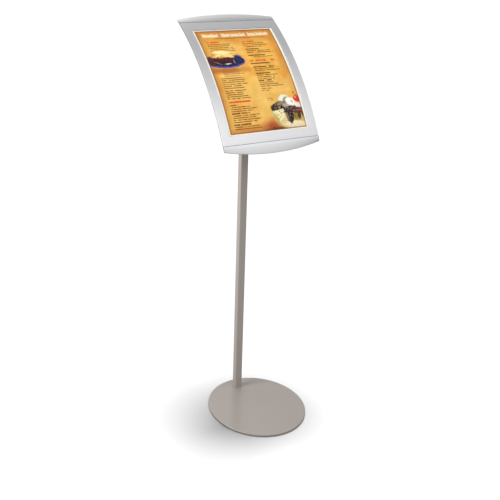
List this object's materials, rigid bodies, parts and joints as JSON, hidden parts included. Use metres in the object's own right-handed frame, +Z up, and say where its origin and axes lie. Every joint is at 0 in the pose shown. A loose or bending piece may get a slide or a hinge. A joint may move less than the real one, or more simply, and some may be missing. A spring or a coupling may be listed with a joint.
{
  "type": "sign stand",
  "caption": "Floor-standing sign stand with an oval base, a rectangular post and a bowed, tilting letter-size sign frame.",
  "frame": {"origin": "centre of the base's oval footprint, on the floor", "axes": "+Z up along the post; the sign faces -Y; +X to the right of a reader who faces the sign"},
  "size_m": [0.25, 0.3473, 0.9558],
  "materials": {
    "mat_rubber": "matt moulded rubber",
    "taupe_coat": "taupe powder coat, satin",
    "dark_coat": "dark grey powder coat",
    "zinc_steel": "zinc plated",
    "fibre": "vulcanised fibre",
    "black_plastic": "moulded, fine texture",
    "brass_insert": "turned brass",
    "panel_aluminium": "mill finish sheet",
    "magnet_plate": "nickel plated",
    "silver_coat": "silver, satin",
    "clear_plastic": "clear sheet",
    "paper": "printed paper",
    "brushed_aluminium": "brushed along its length"
  },
  "bodies": {
    "stand": {"base_mat": "mat_rubber", "base_plate": "taupe_coat", "base_screw": "zinc_steel", "foot_block": "zinc_steel", "post_tube": "taupe_coat", "post_head": "dark_coat", "stem_screw": "zinc_steel"},
    "head": {"tilt_bracket": "dark_coat", "pivot_bolt": "zinc_steel", "friction_washers": "fibre", "knob_washer": "zinc_steel", "back_panel": "panel_aluminium", "spacer_frame": "black_plastic", "magnets": "magnet_plate", "top_rail": "brushed_aluminium", "bottom_rail": "brushed_aluminium", "rail_screws": "zinc_steel", "panel_studs": "zinc_steel", "stud_washers": "zinc_steel", "stud_nuts": "zinc_steel"},
    "knob": {"clamp_knob": "black_plastic", "knob_nut": "brass_insert"},
    "face": {"face_frame": "silver_coat", "clear_lens": "clear_plastic"},
    "print": {"print_sheet": "paper"}
  },
  "joints": [
    {"name": "head_tilt", "type": "hinge", "parent": "stand", "child": "head", "pos_m": [0, 0.101, 0.807], "axis": [1, 0, 0], "range_deg": [-30, 30]},
    {"name": "knob_turn", "type": "hinge", "parent": "head", "child": "knob", "pos_m": [0, 0.101, 0.807], "axis": [1, 0, 0], "range_deg": [0, 180]},
    {"name": "face_lift", "type": "slide", "parent": "head", "child": "face", "axis": [0, -0.7431, 0.6691], "range_m": [0, 0.06]},
    {"name": "print_lift", "type": "slide", "parent": "head", "child": "print", "axis": [0, -0.7431, 0.6691], "range_m": [0, 0.03]}
  ],
  "couplings": [
    {"joint": "print_lift", "follows": "face_lift", "ratio": 0.5}
  ]
}
